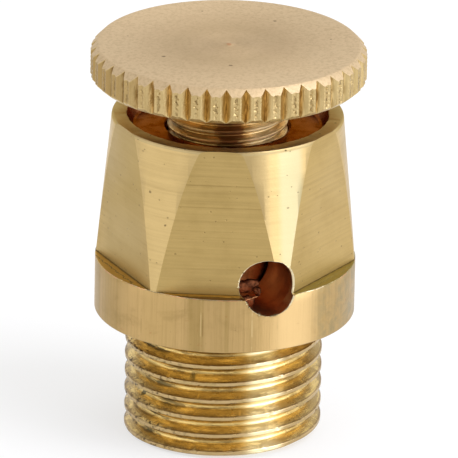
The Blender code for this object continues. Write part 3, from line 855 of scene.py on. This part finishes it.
def stem_outline():
    """The section of the stem, neck, nose and pintle, from inside the knob down to the tip."""
    root = KNOB_UNDERSIDE + 0.8
    seal_top = SEAL_UNDERSIDE + SEAL_THICKNESS + SEAL_FIT
    nose = seal_top + SPIGOT_LENGTH
    head = SEAL_UNDERSIDE - SEAL_FIT
    tip = head - PINTLE_HEAD_LENGTH
    stem = [(0, root), (STEM_RADIUS, root)]
    stem += near(STEM_RADIUS, STEM_END, ((0, STEM_CHAMFER), (-STEM_CHAMFER, 0)))
    neck = [(NECK_RADIUS, STEM_END), (NECK_RADIUS, nose + NOSE_LAND + NOSE_TAPER)]
    collar = near(NOSE_RADIUS, nose, ((0, NOSE_LAND), (0, 0)))
    spigot = [(SPIGOT_RADIUS, nose), (SPIGOT_RADIUS, seal_top)]
    pintle = [(PINTLE_RADIUS, seal_top), (PINTLE_RADIUS, head), (PINTLE_HEAD_RADIUS, head),
              (PINTLE_HEAD_RADIUS, (head + tip) / 2), (PINTLE_RADIUS, tip), (0, tip)]
    return stem + neck + collar + spigot + pintle


def make_knob():
    random.seed(11)
    columns = knob_columns()
    rings = knob_rings(columns)
    count = len(columns)
    verts = [(0, 0, KNOB_TOP + PIP_HEIGHT)]
    for ring in rings:
        verts += [(r * cos(turn), r * sin(turn), z) for r, turn, z in ring]
    verts.append((0, 0, KNOB_UNDERSIDE))
    faces = []
    last = 1 + (len(rings) - 1) * count
    for c in range(count):
        n = (c + 1) % count
        faces.append((0, 1 + c, 1 + n))
        for row in range(len(rings) - 1):
            a, b = 1 + row * count, 1 + (row + 1) * count
            faces.append((a + c, b + c, b + n, a + n))
        faces.append((last + c, len(verts) - 1, last + n))
    knob = make_object("knob_turning", verts, faces, 28)
    stem = lathe("stem_tool", stem_outline(), 128, False)
    section = groove_section(STEM_RADIUS, STEM_RADIUS - STEM_GROOVE_DEPTH, root_round=0.06,
                             half_angle=radians(30), reach=0.4)
    start = STEM_GROOVE_AT_FRONT - 10 * STEM_PITCH
    cutter = thread_tool("stem_thread_tool", section, STEM_PITCH, start, STEM_THREAD_END, columns=96,
                         fade=30, depth=STEM_GROOVE_DEPTH)
    combine(stem, cutter)
    combine(knob, stem, operation="UNION")
    weld(knob, 28)
    paint(knob, KNOB_MATERIALS, knob_zone)
    return knob


def knob_zone(centre, normal):
    x, y, z = centre
    radius = hypot(x, y)
    if radius > KNOB_RADIUS - 0.35 and z > KNOB_TOP - KNOB_TOP_CHAMFER and normal.z > 0.6:
        return "face"
    if radius > KNOB_RADIUS - 0.325 and z > KNOB_UNDERSIDE + 0.01:
        return "knurl"
    if z > KNOB_TOP - 0.3:
        return "face"
    if z > KNOB_UNDERSIDE - 0.02 and radius > STEM_RADIUS + 0.02:
        return "underside"
    return "stem" if z > STEM_END - 0.1 else "nose"


def make_seal():
    bore, top, ease = PINTLE_RADIUS + SEAL_FIT, SEAL_UNDERSIDE + SEAL_THICKNESS, 0.03
    profile = [(bore, SEAL_UNDERSIDE)]
    profile += near(SEAL_RADIUS, SEAL_UNDERSIDE, ((-SEAL_EDGE, 0), (-ease, ease), (0, SEAL_EDGE)))
    profile += near(SEAL_RADIUS, top, ((0, -SEAL_EDGE), (-ease, -ease), (-SEAL_EDGE, 0))) + [(bore, top)]
    seal = lathe("seal_washer", profile, 96, True)
    seal.data.materials.append(rubber("seal_rubber_look"))
    return seal


# Dark spots, each with its place and radius
FACET_MARKS = ((-4.00, -4.47, 15.34, 0.07), (-3.51, -4.86, 13.85, 0.12), (-2.63, -5.39, 12.37, 0.07))
THREAD_MARKS = ((-4.32, -1.86, 4.66, 0.14), (-4.03, -2.42, 4.36, 0.12), (-4.15, -1.63, 2.45, 0.22),
                (-1.36, -4.29, 4.53, 0.17), (-3.75, -2.22, 2.33, 0.20), (2.94, -3.40, 2.67, 0.08))

BODY_MATERIALS = {
    # The thread's sector at 29 degrees is a painted highlight
    "thread": thread_brass("thread_brass", NIPPLE_RADIUS, NIPPLE_RADIUS - THREAD_DEPTH,
                           (0.88, 0.635, 0.235), (0.54, 0.385, 0.185), 1.0, 0.20,
                           painted_light=(29, 15, (0.98, 0.84, 0.50)), marks=THREAD_MARKS),
    "under": dull_brass("underside_brass", (0.50, 0.34, 0.13), (0.34, 0.22, 0.08), 0.34),
    "collar": drawn_brass("collar_brass"),
    "ledge": ledge_brass("ledge_brass"),
    "rim": ringed_brass("rim_brass", (0.57, 0.43, 0.21), 5.0, 0.010, 0.36, 0.2, dark=0.7, pits=2.0,
                        edge=(0.80, 0.68, 0.42)),
    # The dish's dark red-brown is painted shade under the knob
    "dish": dull_brass("dish_brass", (0.30, 0.140, 0.082), (0.20, 0.082, 0.046), 0.20, spread=(0.42, 0.70),
                       edge=(0.60, 0.35, 0.25)),
    # The flats' sector at -60 degrees is painted shade
    "flat": ringed_brass("milled_brass", (0.57, 0.40, 0.151), 7.0, 0.008, 0.40, 0.8, dark=0.34, line=0.24,
                         pits=0.45, scores=((14.58, 0.38), (13.44, 0.30), (15.05, 0.18), (12.2, 0.18)),
                         painted_light=((-60.0, 28.0, (0.505, 0.360, 0.138)),)),
    # The facets' sector at 17 degrees is painted shade, and the one at 35.5 degrees a painted highlight
    "facet": ringed_brass("turned_brass", (0.65, 0.47, 0.206), 7.5, 0.009, 0.38, 0.85, dark=0.15, line=0.20,
                          marks=FACET_MARKS, painted_light=((17.0, 8.0, (0.54, 0.39, 0.175)),
                                                     (35.5, 8.5, (0.58, 0.495, 0.275)))),
    "bore": bore_brass("bore_brass"),
    "bright": ringed_brass("burr_brass", (0.84, 0.72, 0.47), 9.0, 0.004, 0.30, 0.0, dark=1.0, pits=1.5,
                           line=0.5),
}
KNOB_MATERIALS = {
    "knurl": knurled_brass("knurled_brass"),
    "face": faced_brass("faced_brass"),
    "underside": dull_brass("knob_underside_brass", (0.55, 0.33, 0.12), (0.40, 0.22, 0.07), 0.30),
    # The stem's sector at 42 degrees is a painted highlight, and the one at 4.5 degrees painted shade
    "stem": thread_brass("stem_brass", STEM_RADIUS, STEM_RADIUS - STEM_GROOVE_DEPTH, (0.98, 0.62, 0.20),
                         (1.0, 0.72, 0.30), 0.8, 0.32, painted_light=(42, 26, (1.0, 0.80, 0.44)),
                         painted_shade=(4.5, 13.0, (0.42, 0.19, 0.07))),
    "nose": dull_brass("nose_brass", (0.66, 0.38, 0.18), (0.42, 0.21, 0.09), 0.34),
}

body_turning = make_body()
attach(body_turning, "housing")
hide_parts("valve_body")

vent_burr = make_vent_burr()
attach(vent_burr, "housing")

vent_chip = make_vent_chip()
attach(vent_chip, "housing")

vent_azimuth = degrees(VENT_ANGLE)
vent_reach = degrees(asin((VENT_RADIUS + 0.08) / COLLAR_RADIUS))
for name, first, last, seed in (("collar_burr_left", -78, vent_azimuth - vent_reach, 8),
                                ("collar_burr_right", vent_azimuth + vent_reach, 78, 9)):
    collar_burr = make_collar_burr(name, first, last, seed)
    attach(collar_burr, "housing")

knob_turning = make_knob()
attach(knob_turning, "spindle")
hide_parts("knob_spindle")

seal_washer = make_seal()
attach(seal_washer, "seal_carrier")
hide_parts("seat_seal")


# Studio

# Metres, apart from the camera's pixel, which is in millimetres
FLOOR_HALF, LAMP_DISTANCE, LAMP_AIM = 4.0, 1.6, 0.012
# Each lamp's name, azimuth, elevation, width, height, radiance and colour. A radiance of 1 is white
WHITE = (1, 1, 1)
LAMPS = (("key_right", 64, 23, 1.42, 1.4, 2.85, (0.95, 1.0, 1.16)),
         ("side_right", 118, 14, 1.1, 0.9, 0.8, WHITE),
         ("fill_left", -60, 16, 1.66, 1.0, 0.8, WHITE),
         ("back_top", 183, 34, 3.4, 1.4, 0.14, WHITE),
         ("key_high", 67, 58, 0.6, 0.9, 4.2, WHITE),
         ("top_right", 140, 62, 0.9, 0.7, 0.6, WHITE))
# The photograph's width and the camera's distance in pixels, and where the camera aims, in pixels to the
# right of the middle of the collar's top and above it
PHOTO_WIDTH, PIXEL, CAMERA_PIXELS, AIM_RIGHT, AIM_UP = 458, 0.04914, 9000, 3.8, 24.3
CAMERA_AZIMUTH, CAMERA_ELEVATION, CAMERA_ROLL = 3.0, 21.0, radians(1.1)


def towards(azimuth, elevation):
    """The direction from the valve to an azimuth and elevation in degrees."""
    a, e = radians(azimuth), radians(elevation)
    return Vector((sin(a) * cos(e), -cos(a) * cos(e), sin(e)))


def make_floor():
    """A pale floor that takes shadows. The camera, metal and glass see it lighter than the lamps make it."""
    mesh = bpy.data.meshes.new("floor")
    corners = [(-1, -1), (1, -1), (1, 1), (-1, 1)]
    mesh.from_pydata([(x * FLOOR_HALF, y * FLOOR_HALF, 0) for x, y in corners], [], [(0, 1, 2, 3)])
    n = Nodes("floor_paper")
    ray = n.node("LightPath").outputs
    seen = n.plus(n.plus(ray["Is Camera Ray"], ray["Is Glossy Ray"]), ray["Is Transmission Ray"])
    n.fill(n.shader, {"Base Color": (0.36, 0.36, 0.36), "Roughness": 0.9, "Specular IOR Level": 0.1,
                      "Emission Color": WHITE, "Emission Strength": n.times(seen, 0.60)})
    mesh.materials.append(n.material)
    add_object("floor", mesh)


def softbox(name, azimuth, elevation, width, height, radiance, colour):
    """An area lamp that faces the valve."""
    lamp = bpy.data.lights.new(name, "AREA")
    lamp.shape = "RECTANGLE"
    lamp.size, lamp.size_y = width, height
    lamp.energy = radiance * pi * width * height
    lamp.color = colour
    obj = add_object(name, lamp)
    back = towards(azimuth, elevation)
    obj.location = Vector((0, 0, LAMP_AIM)) + back * LAMP_DISTANCE
    obj.rotation_mode = "QUATERNION"
    obj.rotation_quaternion = (-back).to_track_quat("-Z", "Y")
    obj.visible_camera = False


def make_light():
    world = bpy.data.worlds.new("studio")
    world.use_nodes = True
    background = world.node_tree.nodes["Background"].inputs
    background["Color"].default_value = (*WHITE, 1)
    background["Strength"].default_value = 0.72
    bpy.context.scene.world = world
    for lamp in LAMPS:
        softbox(*lamp)


def make_camera():
    pixel = PIXEL * MM
    data = bpy.data.cameras.new("camera")
    data.sensor_width = 36.0
    data.lens = data.sensor_width * CAMERA_PIXELS / PHOTO_WIDTH
    data.clip_start, data.clip_end = 0.02, 20.0
    camera = add_object("camera", data)
    back = towards(CAMERA_AZIMUTH, CAMERA_ELEVATION)
    turn = (-back).to_track_quat("-Z", "Y").to_matrix() @ Matrix.Rotation(CAMERA_ROLL, 3, "Z")
    right, up = turn.col[0], turn.col[1]
    aim = Vector((0, 0, COLLAR_TOP * MM)) + (right * AIM_RIGHT + up * AIM_UP) * pixel
    camera.matrix_world = Matrix.Translation(aim + back * CAMERA_PIXELS * pixel) @ turn.to_4x4()
    bpy.context.scene.camera = camera


make_floor()
make_light()
make_camera()
bpy.context.scene.view_settings.view_transform = "Standard"
